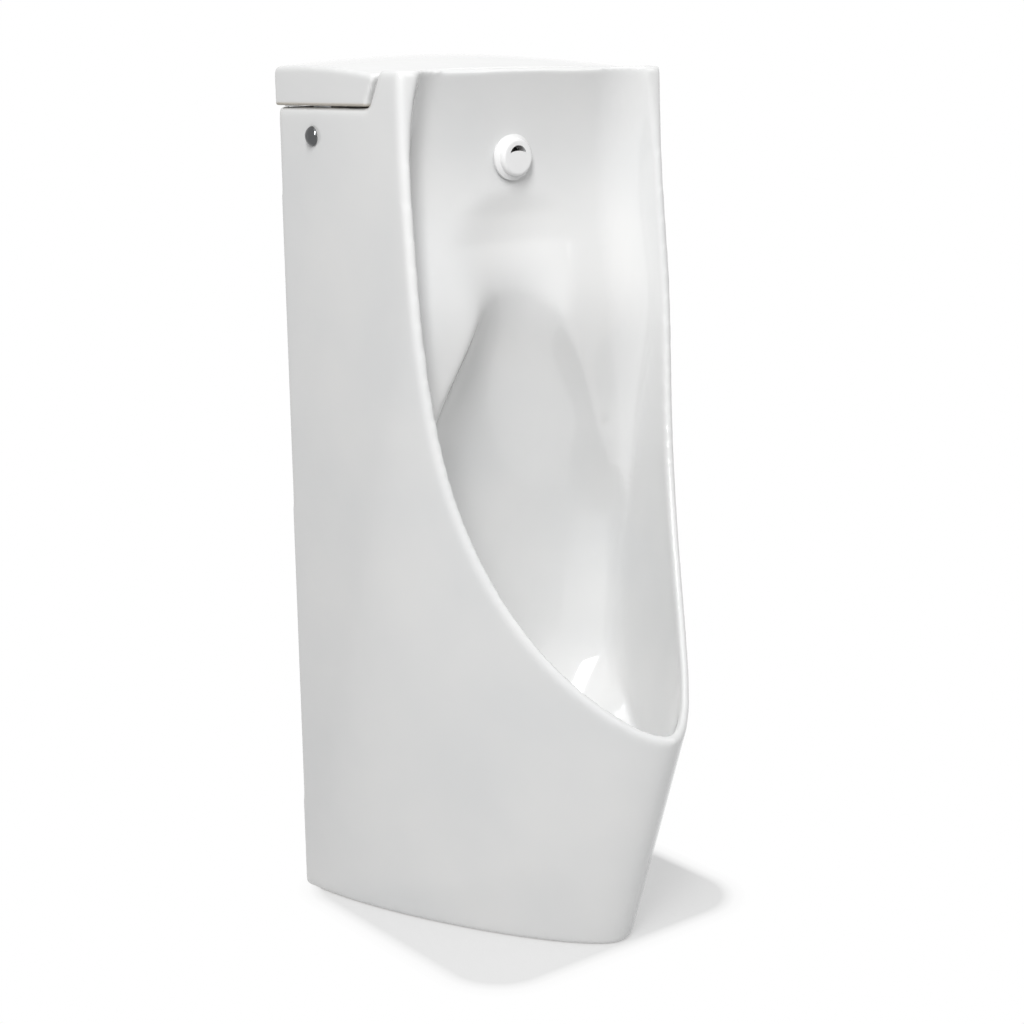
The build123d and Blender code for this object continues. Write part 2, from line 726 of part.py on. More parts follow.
with BuildPart() as flush_pipe:
    with BuildLine():
        FilletPolyline(
            (pipe_start, at(train_reach), train_z),
            (0, at(train_reach), train_z),
            (0, at(train_reach), nozzle_height),
            (0, at(stem_end), nozzle_height),
            radius=pipe_bend,
        )
    with BuildSketch(Plane(origin=(pipe_start, at(train_reach), train_z), z_dir=(1, 0, 0))):
        Circle(pipe_radius)
        Circle(pipe_bore_radius, mode=Mode.SUBTRACT)
    sweep()
finish(flush_pipe.part, "flush_pipe")

with BuildPart() as nozzle_coupling:
    with BuildSketch(Plane.XZ.offset(-at(stem_end - 8))):
        with Locations((0, nozzle_height)):
            RegularPolygon(nozzle_stem_radius + 3, 6, major_radius=False)
            Circle(pipe_radius, mode=Mode.SUBTRACT)
    extrude(amount=8)
    with BuildSketch(Plane.XZ.offset(-at(stem_end))):
        with Locations((0, nozzle_height)):
            RegularPolygon(nozzle_stem_radius + 3, 6, major_radius=False)
            Circle(nozzle_stem_radius, mode=Mode.SUBTRACT)
    extrude(amount=5.5)
finish(nozzle_coupling.part, "nozzle_coupling")

# The control box on the shelf, its lift-off cover and the battery pack
with BuildPart() as control_box:
    with BuildSketch(Plane.XY.offset(shelf_top)):
        with Locations((box_x, at(train_reach))):
            RectangleRounded(box_width, box_length, 5)
    extrude(amount=box_height)
    with BuildSketch(Plane.XY.offset(shelf_top + box_wall)):
        with Locations((box_x, at(train_reach))):
            RectangleRounded(box_width - 2 * box_wall, box_length - 2 * box_wall, 3)
    extrude(amount=box_height, mode=Mode.SUBTRACT)
finish(control_box.part, "control_box")

cover_low = shelf_top + box_height + fit_clearance
with BuildPart() as control_box_cover:
    with BuildSketch(Plane.XY.offset(cover_low)):
        with Locations((box_x, at(train_reach))):
            RectangleRounded(box_width, box_length, 5)
    extrude(amount=box_wall)
    fillet(control_box_cover.edges().group_by(Axis.Z)[-1], 1.2)
    with BuildSketch(Plane.XY.offset(cover_low)):
        with Locations((box_x, at(train_reach))):
            RectangleRounded(box_width - 2 * box_wall - 1, box_length - 2 * box_wall - 1, 3)
            RectangleRounded(box_width - 4 * box_wall - 1, box_length - 4 * box_wall - 1, 2, mode=Mode.SUBTRACT)
    extrude(amount=-cover_height)
finish(control_box_cover.part, "control_box_cover")

with BuildPart() as battery_pack:
    with BuildSketch(Plane.XY.offset(shelf_top + box_wall)):
        with Locations((box_x, at(train_reach))):
            with GridLocations(2 * battery_radius + fit_clearance, 2 * battery_radius + fit_clearance, 2, 2):
                Circle(battery_radius)
            Rectangle(2 * battery_radius + 4, 2 * battery_radius + 4)
    extrude(amount=battery_length)
finish(battery_pack.part, "battery_pack")

# The radar sensor, stuck to the back of the splash panel
sensor_pad = 3.0
with BuildPart() as radar_sensor:
    with Locations((sensor_x, at(chamber_rear - sensor_pad - sensor_size[1] / 2), sensor_height)):
        Box(*sensor_size)
    fillet(radar_sensor.edges().filter_by(Axis.Y), 3)
finish(radar_sensor.part, "radar_sensor")

with BuildPart() as sensor_pad_tape:
    with BuildSketch(Plane.XZ.offset(-at(chamber_rear - sensor_pad))):
        with Locations((sensor_x, sensor_height)):
            RectangleRounded(sensor_size[0] - 4, sensor_size[2] - 4, 3)
    extrude(amount=sensor_pad)
finish(sensor_pad_tape.part, "sensor_pad_tape")

# Plastic sleeves in the wall fixing holes
with BuildPart() as fixing_sleeves:
    for side in (-1, 1):
        with BuildSketch(Plane.XZ.offset(-wall_y)):
            with Locations((side * fixing_spacing / 2, fixing_height)):
                Circle(fixing_hole_radius)
                Circle(fixing_hole_radius - sleeve_wall, mode=Mode.SUBTRACT)
        extrude(amount=wall)
        with BuildSketch(Plane.XZ.offset(-at(wall))):
            with Locations((side * fixing_spacing / 2, fixing_height)):
                Circle(fixing_hole_radius + sleeve_lip)
                Circle(fixing_hole_radius - sleeve_wall, mode=Mode.SUBTRACT)
        extrude(amount=sleeve_wall)
finish(fixing_sleeves.part, "fixing_sleeves")

# The drain: odour trap cartridge, its lip seal and the domed strainer over it
seat_z = floor_z - strainer_seat_depth
cartridge_top = seat_z + fit_clearance
cartridge_low = seat_z - cartridge_length
with BuildPart() as trap_cartridge:
    with BuildSketch(Plane.XY.offset(cartridge_top)):
        with Locations((0, at(outlet_reach))):
            Circle(cartridge_flange)
            Circle(cartridge_radius - 6, mode=Mode.SUBTRACT)
    extrude(amount=2)
    with BuildSketch(Plane.XY.offset(cartridge_low)):
        with Locations((0, at(outlet_reach))):
            Circle(cartridge_radius)
            Circle(cartridge_radius - cartridge_wall, mode=Mode.SUBTRACT)
    extrude(amount=cartridge_top - cartridge_low)
    with BuildSketch(Plane.XY.offset(cartridge_low)):
        with Locations((0, at(outlet_reach))):
            Circle(cartridge_radius)
            with PolarLocations(cartridge_radius - 10, 6):
                Circle(5, mode=Mode.SUBTRACT)
    extrude(amount=cartridge_wall)
    with BuildSketch(Plane.XY.offset(cartridge_low)):
        with Locations((0, at(outlet_reach))):
            Circle(10)
            Circle(8, mode=Mode.SUBTRACT)
    extrude(amount=cartridge_length * 0.7)
finish(trap_cartridge.part, "trap_cartridge")

with BuildPart() as trap_seal:
    with BuildSketch(Plane.XY.offset(cartridge_low + 3 * seal_height)):
        with Locations((0, at(outlet_reach))):
            Circle(outlet_radius - fit_clearance)
            Circle(cartridge_radius, mode=Mode.SUBTRACT)
    extrude(amount=seal_height)
finish(trap_seal.part, "trap_seal")

strainer_low = cartridge_top + 2 + fit_clearance
with BuildPart() as bowl_strainer:
    with BuildSketch(Plane.YZ):
        with BuildLine():
            Line((at(outlet_reach), strainer_low + 8), (at(outlet_reach), strainer_low + 10))
            ThreePointArc(
                (at(outlet_reach), strainer_low + 10),
                (at(outlet_reach) + cartridge_flange * 0.6, strainer_low + 7.6),
                (at(outlet_reach) + cartridge_flange, strainer_low + 1),
            )
            Line(
                (at(outlet_reach) + cartridge_flange, strainer_low + 1),
                (at(outlet_reach) + cartridge_flange, strainer_low),
            )
            Line(
                (at(outlet_reach) + cartridge_flange, strainer_low),
                (at(outlet_reach) + cartridge_flange - 4, strainer_low),
            )
            ThreePointArc(
                (at(outlet_reach) + cartridge_flange - 4, strainer_low),
                (at(outlet_reach) + cartridge_flange * 0.55, strainer_low + 5.8),
                (at(outlet_reach), strainer_low + 8),
            )
        make_face()
    revolve(axis=Axis((0, at(outlet_reach), 0), (0, 0, 1)))
    with BuildSketch(Plane.XY.offset(strainer_low)):
        with Locations((0, at(outlet_reach))):
            Circle(3)
            with PolarLocations(13, 6):
                Circle(3)
            with PolarLocations(25, 12):
                Circle(3)
    extrude(amount=3 * wall, mode=Mode.SUBTRACT)
finish(bowl_strainer.part, "bowl_strainer")

# The floor flange under the outlet, its sealing ring and its bolts
flange_top = flange_thickness + flange_neck
with BuildPart() as floor_flange:
    with BuildSketch(Plane.XY):
        with Locations((0, at(outlet_reach))):
            Circle(flange_radius)
        with Locations((0, at(flange_plate_reach))):
            RectangleRounded(*flange_plate, 12)
        with Locations((0, at(flange_bolt_reach))):
            with GridLocations(flange_bolt_spacing, 1, 2, 1):
                Circle(flange_bolt_radius, mode=Mode.SUBTRACT)
    extrude(amount=flange_thickness)
    with BuildSketch(Plane.XY.offset(flange_thickness)):
        with Locations((0, at(outlet_reach))):
            Circle(outlet_radius + collar_wall)
    extrude(amount=flange_neck)
    with BuildSketch(Plane.XY):
        with Locations((0, at(outlet_reach))):
            Circle(drain_radius)
    extrude(amount=flange_top, mode=Mode.SUBTRACT)
finish(floor_flange.part, "floor_flange")

with BuildPart() as outlet_gasket:
    with BuildSketch(Plane.XY.offset(flange_top)):
        with Locations((0, at(outlet_reach))):
            Circle(outlet_radius + collar_wall)
            Circle(drain_radius + 4, mode=Mode.SUBTRACT)
    extrude(amount=collar_end - flange_top)
finish(outlet_gasket.part, "outlet_gasket")

with BuildPart() as flange_bolts:
    for side in (-1, 1):
        with BuildSketch(Plane.XY):
            with Locations((side * flange_bolt_spacing / 2, at(flange_bolt_reach))):
                Circle(flange_bolt_radius)
        extrude(amount=flange_thickness + 10)
        with BuildSketch(Plane.XY.offset(flange_thickness)):
            with Locations((side * flange_bolt_spacing / 2, at(flange_bolt_reach))):
                RegularPolygon(6.5, 6, major_radius=False)
        extrude(amount=6)
finish(flange_bolts.part, "flange_bolts")
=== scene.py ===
"""Looks of a floor-standing urinal.

The glazed pedestal and lid, the spray nozzle, the lock screws, the hidden flush valve and a studio.
"""

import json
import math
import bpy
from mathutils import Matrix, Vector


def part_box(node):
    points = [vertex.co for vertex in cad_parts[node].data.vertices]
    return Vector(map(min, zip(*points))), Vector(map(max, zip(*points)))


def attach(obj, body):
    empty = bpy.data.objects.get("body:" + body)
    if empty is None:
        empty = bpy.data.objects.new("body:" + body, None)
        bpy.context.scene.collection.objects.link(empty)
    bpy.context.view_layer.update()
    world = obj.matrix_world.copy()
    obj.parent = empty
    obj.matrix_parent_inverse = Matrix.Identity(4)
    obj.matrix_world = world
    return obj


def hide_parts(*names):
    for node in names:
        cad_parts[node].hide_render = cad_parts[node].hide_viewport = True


bl_info = {
    "name": "Floor-standing urinal",
    "version": (1, 0, 0),
    "blender": (4, 5, 0),
    "location": "View3D > Sidebar > Urinal",
    "description": "Dresses the packed urinal with glaze, metal, plastic and rubber, and sets up its studio",
    "category": "Object",
}

import bpy
import numpy as np
from mathutils import Matrix, Vector

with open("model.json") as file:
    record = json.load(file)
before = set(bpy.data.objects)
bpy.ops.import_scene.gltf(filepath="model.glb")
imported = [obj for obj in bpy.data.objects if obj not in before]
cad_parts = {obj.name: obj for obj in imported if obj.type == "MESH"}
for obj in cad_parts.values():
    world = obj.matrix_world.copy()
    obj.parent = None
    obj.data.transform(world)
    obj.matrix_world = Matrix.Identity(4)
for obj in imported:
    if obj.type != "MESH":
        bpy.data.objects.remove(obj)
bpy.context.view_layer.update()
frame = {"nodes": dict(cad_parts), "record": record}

WALL_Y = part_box("ceramic_body")[1].y
MM = 0.001

# Splash panel, in mm: height, distance from the wall, corner radius
PANEL = (
    (930, 214, 60),
    (880, 194, 55),
    (810, 176, 48),
    (740, 176, 46),
    (650, 190, 44),
    (560, 182, 34),
    (480, 177, 24),
    (385, 174, 14),
)
# Bowl, in mm: height, distance of its middle from the wall, half its width, half its depth
BOWL = (
    (830, 250, 90, 30),
    (790, 250, 84, 58),
    (740, 250, 80, 74),
    (700, 250, 80, 75),
    (650, 250, 78, 86),
    (600, 250, 100, 103),
    (550, 250, 130, 115),
    (490, 250, 158, 126),
    (400, 252, 198, 138),
    (300, 260, 186, 150),
    (240, 264, 162, 150),
    (190, 262, 116, 124),
    (158, 258, 76, 84),
)
# Rim, in mm: height, distance of its edge from the wall
RIM = (
    (930, 220),
    (780, 224),
    (660, 235),
    (500, 257),
    (380, 303),
    (342, 326),
    (306, 355),
    (273, 388),
    (246, 424),
)
# Ridges, in mm: heights, and how widely the ridge is rounded at each
CREST = ((150, 440, 520, 600, 640, 680, 720, 750, 785), (30, 20, 8, 4, 8, 26, 40, 30, 4))
# A ridge is never sharper than this, and is fully rounded where the panel stands this far inside the bow
CREST_LEAST = 0.5
CREST_ROOM = (2, 34)
# How widely the bowl's oval runs into the inside of the bow
SCOOP_ROUND = 20.0

# Outside of the casting, in mm: a tapered half width, and a bow that leans forward from the foot to the lip
FOOT_HALF = 175.0
TAPER = 7 / 900
WALL = 12.0
LIP_HEIGHT = 246
BOW_LEAN = 80 / LIP_HEIGHT
BOW_SHOULDER = 110
BOW_REACH = 332
BOW_NOSE = 45

# Distance of the upright axis in the bowl from the wall, in mm: the softened surface is measured from it
BOWL_MIDDLE = 250.0
# Heights in mm of the underside of the bowl, of the panel's lower end and of the nozzle's middle
BOWL_FLOOR = 140
PANEL_FOOT = 385
NOZZLE_HEIGHT = 500 * (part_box("nozzle_gasket")[0].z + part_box("nozzle_gasket")[1].z)
# Heights in mm over which the softening sets in
SOFT_FROM = (196, 240)
# Distances in mm behind the rim's edge over which it sets in, so that the rolled rim keeps its form
RIM_KEPT = (5, 26)
# A point belongs to the hard surface up to the first distance in mm, and no more from the second
SKIN_REACH = (5, 7)
# Distances in mm from the nozzle's middle over which the evening out of points sets in
NOZZLE_KEPT = (26, 40)
# How far in mm the bare clay of the hollows stays from the rim and from the lid
RIM_MARGIN = 16
LID_MARGIN = 5
# How squarely a point faces the axis in the bowl, from no softening to all of it
INWARD = (0.0, 0.25)

# Bare clay reaches this far from an edge that isn't glazed, and fades out over the second length, in metres
BARE_BAND = 0.002
BARE_FADE = 0.001

# Camera of the photograph: place in metres, and its angles in radians
CAMERA_PLACE = (-1.2174, -1.5082, 0.90374)
CAMERA_BEARING = 0.664937
CAMERA_NOD = 0.234147
CAMERA_ROLL = -0.0155197


# Settings


def tone(name, description, default):
    """A colour that a user may change."""
    return bpy.props.FloatVectorProperty(
        name=name, description=description, subtype="COLOR", size=3, default=default
    )


class UrinalGlaze(bpy.types.PropertyGroup):
    """Sizes and colours of the glazed casting and its lid"""

    colour: tone("Glaze", "Colour of the white glaze", (0.80, 0.80, 0.795))
    pooled: tone("Pooled glaze", "Colour where the glaze lies thick", (0.76, 0.765, 0.765))
    bare: tone("Bare clay", "Colour of the fired clay without glaze", (0.66, 0.62, 0.55))
    skin_voxel: bpy.props.FloatProperty(
        name="Skin cell",
        description="Cell size of the casting's mesh",
        unit="LENGTH",
        default=0.0026,
        min=0.0015,
        max=0.01,
    )
    lid_voxel: bpy.props.FloatProperty(
        name="Lid cell",
        description="Cell size of the lid's mesh",
        unit="LENGTH",
        default=0.002,
        min=0.001,
        max=0.01,
    )
    skirt_drop: bpy.props.FloatProperty(
        name="Skirt drop",
        description="How far the lid's skirt closes the seam under it",
        unit="LENGTH",
        default=0.0011,
        min=0.0,
        max=0.0015,
    )
    ripple: bpy.props.FloatProperty(
        name="Ripple",
        description="Strength of the glaze's faint ripple",
        subtype="FACTOR",
        default=0.05,
        min=0.0,
        max=1.0,
    )


class UrinalHardware(bpy.types.PropertyGroup):
    """Colours of the metal, plastic and rubber pieces"""

    # Painted dark reflection: the chrome's colour is set very dark to stand in for the dark surroundings its
    # polished domes reflect.
    chrome: tone("Chrome", "Colour of the polished screws and strainer", (0.11, 0.112, 0.116))
    nozzle: tone("Nozzle", "Colour of the spray nozzle", (0.82, 0.82, 0.82))
    brass: tone("Brass", "Colour of the valve and nuts", (0.72, 0.55, 0.27))
    copper: tone("Copper", "Colour of the flush pipe", (0.74, 0.40, 0.25))
    steel: tone("Steel", "Colour of shelf, tabs and screws", (0.60, 0.61, 0.62))
    casing: tone("Casing", "Colour of the control box and flange", (0.25, 0.26, 0.28))


class UrinalStudio(bpy.types.PropertyGroup):
    """Lights, floor and camera"""

    key: bpy.props.FloatProperty(
        name="Key", description="Power of the tall front left light", subtype="POWER", default=64.0, min=0.0
    )
    fill: bpy.props.FloatProperty(
        name="Fill", description="Power of the front right light", subtype="POWER", default=5.0, min=0.0
    )
    top: bpy.props.FloatProperty(
        name="Top", description="Power of the overhead light", subtype="POWER", default=7.0, min=0.0
    )
    room: bpy.props.FloatProperty(
        name="Room", description="Strength of the light from all round", default=0.27, min=0.0
    )
    lens: bpy.props.FloatProperty(
        name="Lens", description="Focal length on a 36 mm sensor, in mm", default=66.8, min=10.0
    )


# Shader building


class Value:
    """A shader socket that adds its own Math nodes when it stands in an expression."""

    def __init__(self, finish, socket):
        self.finish = finish
        self.socket = socket

    def _math(self, operation, *values):
        return self.finish.node("ShaderNodeMath", {"operation": operation}, dict(enumerate(values)))

    def __add__(self, other):
        return self._math("ADD", self, other)

    def __radd__(self, other):
        return self._math("ADD", other, self)

    def __sub__(self, other):
        return self._math("SUBTRACT", self, other)

    def __rsub__(self, other):
        return self._math("SUBTRACT", other, self)

    def __mul__(self, other):
        return self._math("MULTIPLY", self, other)

    def __rmul__(self, other):
        return self._math("MULTIPLY", other, self)

    def __gt__(self, other):
        return self._math("GREATER_THAN", self, other)

    def __lt__(self, other):
        return self._math("LESS_THAN", self, other)


class Finish:
    """A node material, or the world's own nodes, while it is being written."""

    def __init__(self, name, kind="materials"):
        self.made = getattr(bpy.data, kind).new(name)
        self.made.use_nodes = True
        self.tree = self.made.node_tree
        self.tree.nodes.clear()

    def node(self, kind, settings=None, inputs=None, output=0):
        """Add a node, set it up, feed its sockets and return one of its outputs."""
        added = self.tree.nodes.new(kind)
        for name, setting in (settings or {}).items():
            if name == "stops":
                self._stops(added.color_ramp, setting)
            else:
                setattr(added, name, setting)
        for name, given in (inputs or {}).items():
            if isinstance(given, Value):
                self.tree.links.new(given.socket, added.inputs[name])
            else:
                added.inputs[name].default_value = given
        return Value(self, added.outputs[output]) if added.outputs else None

    @staticmethod
    def _stops(ramp, stops):
        while len(ramp.elements) < len(stops):
            ramp.elements.new(0.5)
        for element, (position, level) in zip(ramp.elements, stops):
            element.position = position
            element.color = (level, level, level, 1.0)

    def place(self):
        """The point on the piece, in metres."""
        return self.node("ShaderNodeTexCoord", output=3)

    def axis(self, which):
        """One coordinate of the point on the piece."""
        return self.node("ShaderNodeSeparateXYZ", inputs={"Vector": self.place()}, output="XYZ".index(which))

    def length(self, vector):
        """How long a vector is."""
        return self.node("ShaderNodeVectorMath", {"operation": "LENGTH"}, {0: vector}, output=1)

    def noise(self, scale, detail=2.0, stretch=(1.0, 1.0, 1.0)):
        """Smooth noise with features about 1/scale metres wide."""
        where = self.node("ShaderNodeVectorMath", {"operation": "MULTIPLY"}, {0: self.place(), 1: stretch})
        return self.node("ShaderNodeTexNoise", inputs={"Vector": where, "Scale": scale, "Detail": detail})

    def ramp(self, source, stops):
        """Reshape a value with a ramp of (position, level) stops."""
        return self.node("ShaderNodeValToRGB", {"stops": stops}, {"Fac": source})

    def mix(self, factor, first, second):
        """Blend two colours."""
        fed = {0: factor, 6: colour(first), 7: colour(second)}
        return self.node("ShaderNodeMix", {"data_type": "RGBA"}, fed, output=2)

    def bump(self, height, strength, distance, under=None):
        """A bumped normal."""
        fed = {"Height": height, "Strength": strength, "Distance": distance}
        if under is not None:
            fed["Normal"] = under
        return self.node("ShaderNodeBump", inputs=fed)

    def seen(self):
        """1 where a surface is seen directly, in a mirror or through glass, and 0 for other light."""
        direct, mirrored, through_glass = (
            self.node("ShaderNodeLightPath", output=name)
            for name in ("Is Camera Ray", "Is Glossy Ray", "Is Transmission Ray")
        )
        clamped = {"operation": "ADD", "use_clamp": True}
        return self.node("ShaderNodeMath", clamped, {0: direct + mirrored, 1: through_glass})

    def done(self, **inputs):
        """Finish the material with one Principled shader."""
        named = {key.replace("_", " "): colour(given) for key, given in inputs.items()}
        surface = self.node("ShaderNodeBsdfPrincipled", inputs=named)
        self.node("ShaderNodeOutputMaterial", inputs={"Surface": surface})
        return self.made


def colour(given):
    """A colour with its alpha, where a colour was given without one."""
    if isinstance(given, (Value, float, int)):
        return given
    return tuple(given) + (1.0,) if len(given) == 3 else tuple(given)


def shaded(tint, share):
    """A colour darkened to a share of itself."""
    return tuple(share * level for level in tint)


# Finishes


def glaze_finish(name, look):
    """White glaze with a faint ripple, cooler where it pools, and bare clay where there is no glaze."""
    finish = Finish(name)
    bare = finish.node("ShaderNodeAttribute", {"attribute_name": "bare"}, output=2)
    drift = finish.ramp(finish.noise(7.0), [(0.35, 0.0), (0.65, 1.0)])
    glazed = finish.mix(drift, look.colour, look.pooled)
    grit = finish.noise(420.0, 4.0)
    clay = finish.mix(grit, look.bare, shaded(look.bare, 0.82))
    shade = finish.mix(bare, glazed, clay)
    gloss = 0.05 + 0.05 * finish.noise(24.0)
    roughness = gloss + bare * 0.7
    ripple = finish.noise(46.0, 1.0) + 0.3 * finish.noise(170.0, 1.0)
    normal = finish.bump(ripple, look.ripple, 0.001)
    normal = finish.bump(grit * bare, 0.35, 0.0008, normal)
    coat = 0.3 * (1.0 - bare)
    return finish.done(
        Base_Color=shade, Roughness=roughness, IOR=1.52, Normal=normal, Coat_Weight=coat, Coat_Roughness=0.03
    )


def chrome_finish(tint):
    """Polished plating with faint wipe marks, in a very dark tint that paints in dark reflections."""
    finish = Finish("polished plating with painted dark reflection")
    wipe = finish.noise(160.0, 3.0, (1.0, 1.0, 6.0))
    return finish.done(
        Base_Color=finish.mix(wipe, tint, shaded(tint, 0.93)),
        Metallic=1.0,
        Roughness=0.06 + 0.08 * wipe,
        Normal=finish.bump(wipe, 0.04, 0.0002),
    )


def metal_finish(name, tint, roughness, stretch):
    """Turned or rolled metal with marks along its working direction and a little tarnish."""
    finish = Finish(name)
    marks = finish.noise(900.0, 3.0, stretch)
    tarnish = finish.ramp(finish.noise(38.0, 4.0), [(0.45, 0.0), (0.75, 1.0)])
    polished = finish.mix(marks, tint, shaded(tint, 0.86))
    return finish.done(
        Base_Color=finish.mix(tarnish * 0.5, polished, shaded(tint, 0.62)),
        Metallic=1.0,
        Roughness=roughness + 0.12 * marks + 0.14 * tarnish,
        Normal=finish.bump(marks, 0.12, 0.0001),
    )


def moulded_finish(name, tint, roughness, grain):
    """Moulded plastic with a fine spark-eroded grain and slight flow marks."""
    finish = Finish(name)
    pits = finish.noise(1400.0, 3.0)
    flow = finish.noise(22.0, 2.0, (1.0, 1.0, 0.3))
    return finish.done(
        Base_Color=finish.mix(flow, tint, shaded(tint, 0.9)),
        Roughness=roughness + 0.08 * pits,
        Normal=finish.bump(pits, grain, 0.0002),
        Coat_Weight=0.1,
    )


def nozzle_finish(tint):
    """Glossy white cap with painted shade in its mouth: near black where the mouth's wall stands deeper than
    the face.
    """
    finish = Finish("nozzle plastic")
    mouth_radius, mouth_depth = 0.0105, 0.0014
    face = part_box("spray_nozzle")[0].y
    upright = {0: finish.place(), 1: (1.0, 0.0, 1.0), 2: (0.0, 0.0, -NOZZLE_HEIGHT * MM)}
    from_middle = finish.node("ShaderNodeVectorMath", {"operation": "MULTIPLY_ADD"}, upright)
    # Painted shade: the mouth's wall, white plastic like the cap, is painted near black inside the mouth's
    # radius and deeper than the face.
    inside = mouth_radius > finish.length(from_middle)
    deep = finish.axis("Y") > face + mouth_depth
    flow = finish.noise(30.0, 2.0)
    cap = finish.mix(flow, tint, shaded(tint, 0.96))
    return finish.done(
        Base_Color=finish.mix(inside * deep, cap, (0.012, 0.012, 0.012)),
        Roughness=0.16 + 0.06 * flow,
        Normal=finish.bump(finish.noise(600.0), 0.02, 0.0002),
        Coat_Weight=0.2,
    )


def rubber_finish():
    """Dull black rubber, dusty in places."""
    finish = Finish("black rubber")
    dust = finish.ramp(finish.noise(60.0, 5.0), [(0.45, 0.0), (0.8, 1.0)])
    skin = finish.noise(800.0, 2.0)
    return finish.done(
        Base_Color=finish.mix(dust, (0.022, 0.022, 0.022), (0.075, 0.073, 0.07)),
        Roughness=0.62 + 0.2 * dust,
        Normal=finish.bump(skin, 0.2, 0.0002),
    )


def battery_finish():
    """Shrink wrap with a paler band near the cells' tops."""
    finish = Finish("battery wrap")
    band_height = 0.012
    band = finish.axis("Z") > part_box("battery_pack")[1].z - band_height
    crease = finish.noise(240.0, 3.0, (1.0, 1.0, 0.15))
    return finish.done(
        Base_Color=finish.mix(band, (0.05, 0.10, 0.24), (0.55, 0.50, 0.38)),
        Roughness=0.28 + 0.2 * crease,
        Normal=finish.bump(crease, 0.25, 0.0003),
    )


# Mesh building


def smooth_copy(name, node, cell, passes):
    """A fine, evenly meshed and softened copy of a CAD node, for the glazed castings."""
    piece = bpy.data.objects.new(name, frame["nodes"][node].data.copy())
    bpy.context.scene.collection.objects.link(piece)
    skin = piece.modifiers.new("skin", "REMESH")
    skin.mode = "VOXEL"
    skin.voxel_size = cell
    skin.use_smooth_shade = True
    soften = piece.modifiers.new("soften", "CORRECTIVE_SMOOTH")
    soften.use_only_smooth = True
    soften.iterations = passes
    soften.factor = 0.5
    depsgraph = bpy.context.evaluated_depsgraph_get()
    mesh = bpy.data.meshes.new_from_object(piece.evaluated_get(depsgraph))
    piece.modifiers.clear()
    piece.data = mesh
    mesh.materials.clear()
    mesh.shade_smooth()
    return piece


def points_of(mesh):
    """The mesh's points as rows of x, y, z."""
    points = np.empty(len(mesh.vertices) * 3, np.float32)
    mesh.vertices.foreach_get("co", points)
    return points.reshape(-1, 3)


def normals_of(mesh):
    """The mesh's point normals as rows of x, y, z."""
    normals = np.empty(len(mesh.vertices) * 3, np.float32)
    mesh.vertex_normals.foreach_get("vector", normals)
    return normals.reshape(-1, 3)


def through(rows, column, heights):
    """A smooth curve through one column of a table of levels, read at many heights."""
    rows = sorted(rows)
    at = np.array([row[0] for row in rows], float)
    level = np.array([row[column] for row in rows], float)
    gap = np.diff(at)
    count = len(at)
    system = np.eye(count)
    right = np.zeros(count)
    for i in range(1, count - 1):
        system[i, i - 1 : i + 2] = gap[i - 1], 2 * (gap[i - 1] + gap[i]), gap[i]
        right[i] = 6 * ((level[i + 1] - level[i]) / gap[i] - (level[i] - level[i - 1]) / gap[i - 1])
    bend = np.linalg.solve(system, right)
    z = np.clip(heights, at[0], at[-1])
    low = np.clip(np.searchsorted(at, z) - 1, 0, count - 2)
    up, down, span = z - at[low], at[low + 1] - z, gap[low]
    return (
        (bend[low] * down**3 + bend[low + 1] * up**3) / (6 * span)
        + (level[low] / span - bend[low] * span / 6) * down
        + (level[low + 1] / span - bend[low + 1] * span / 6) * up
    )


def ease(value, low, high):
    """0 below low, 1 above high, and smooth between."""
    share = np.clip((value - low) / (high - low), 0, 1)
    return share * share * (3 - 2 * share)


def soft_larger(first, second, width):
    """The larger of two values, rounded off over a width where they are close."""
    share = np.clip(0.5 + 0.5 * (first - second) / width, 0, 1)
    return second + (first - second) * share + width * share * (1 - share)


def soft_smaller(first, second, width):
    """The smaller of two values, rounded off over a width where they are close."""
    return -soft_larger(-first, -second, width)


def inner_half(heights):
    """Half the inside width of the tapered flanks."""
    return FOOT_HALF - TAPER * heights - WALL


def panel_distance(across, back, heights):
    """How far the splash panel and its side walls are from the bowl's middle, in a direction."""
    half = inner_half(heights)
    corner = through(PANEL, 2, heights)
    depth = BOWL_MIDDLE - through(PANEL, 1, heights)
    side = half / np.maximum(across, 1e-6)
    rear = np.where(back > 1e-6, depth / np.maximum(back, 1e-6), 1e6)
    turn_x, turn_y = half - corner, depth - corner
    along = across * turn_x + back * turn_y
    round_corner = along + np.sqrt(np.maximum(along**2 - turn_x**2 - turn_y**2 + corner**2, 0))
    return np.where(side * back <= turn_y, side, np.where(rear * across <= turn_x, rear, round_corner))


def bowl_distance(across, back, heights):
    """How far the bowl's oval is from its middle, in a direction."""
    shift = BOWL_MIDDLE - through(BOWL, 1, heights)
    wide = through(BOWL, 2, heights)
    deep = through(BOWL, 3, heights)
    a = (across / wide) ** 2 + (back / deep) ** 2
    b = -2 * back * shift / deep**2
    c = (shift / deep) ** 2 - 1
    return (-b + np.sqrt(np.maximum(b * b - 4 * a * c, 0))) / (2 * a)


def bow_distance(across, back, heights):
    """How far the inside of the leaning bow is from the bowl's middle, in a direction."""
    half = inner_half(heights)
    behind = BOWL_MIDDLE - BOW_LEAN * heights
    low, high = np.zeros_like(across), np.ones_like(across)
    halvings = 26
    for _ in range(halvings):
        t = (low + high) / 2
        x = half * (1 - t) ** 2 * (1 + 2 * t) + BOW_NOSE * 3 * (1 - t) * t * t
        y = behind - BOW_SHOULDER * 3 * (1 - t) ** 2 * t - BOW_REACH * (3 * (1 - t) * t * t + t**3)
        past = x * back - y * across > 0
        high = np.where(past, t, high)
        low = np.where(past, low, t)
    flank = half * back - behind * across > 0
    return np.where(flank, half / np.maximum(across, 1e-6), np.hypot(x, y))


